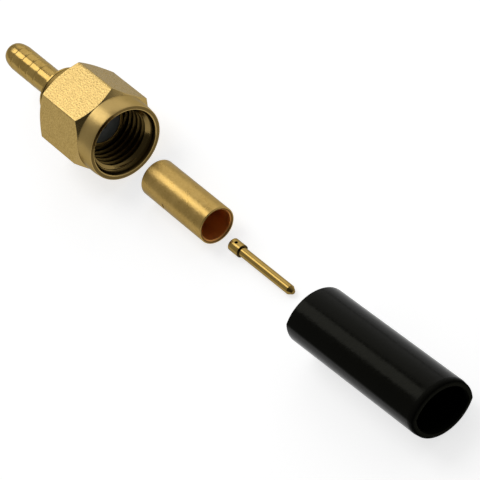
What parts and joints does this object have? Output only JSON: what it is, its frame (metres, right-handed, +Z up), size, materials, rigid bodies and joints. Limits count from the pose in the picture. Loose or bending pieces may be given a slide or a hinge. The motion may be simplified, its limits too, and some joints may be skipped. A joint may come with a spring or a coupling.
{
  "type": "sma connector",
  "caption": "Crimp SMA cable plug laid out as loose parts: body with captive hex coupling nut, crimp ferrule, centre contact and heat-shrink sleeve.",
  "frame": {"origin": "middle of the laid-out set, on the bench", "axes": "+X along the plug's axis, out of the mouth of the coupling nut towards the sleeve; +Z up from the bench"},
  "size_m": [0.0654, 0.0092, 0.008],
  "materials": {
    "nut_gold": "gold plated, tumbled satin",
    "body_gold": "gold plated, turned",
    "spring_bronze": "bare spring bronze",
    "silicone": "matte",
    "ptfe": "matte, slightly waxy",
    "ferrule_gold": "gold plated, satin",
    "contact_gold": "gold plated, bright",
    "black_polyolefin": "matte, extruded"
  },
  "bodies": {
    "root": {"connector_body": "body_gold", "insulator": "ptfe", "gasket": "silicone", "crimp_ferrule": "ferrule_gold", "centre_contact": "contact_gold", "heat_shrink_sleeve": "black_polyolefin"},
    "float_ring": {"retaining_ring": "spring_bronze"},
    "nut": {"coupling_nut": "nut_gold"}
  },
  "joints": [
    {"name": "coupling_float", "type": "slide", "parent": "root", "child": "float_ring", "axis": [1, 0, 0], "range_m": [-0.00012, 0.00012]},
    {"name": "nut_spin", "type": "hinge", "parent": "float_ring", "child": "nut", "pos_m": [-0.02146, 0, 0.004], "axis": [1, 0, 0], "continuous": true}
  ]
}
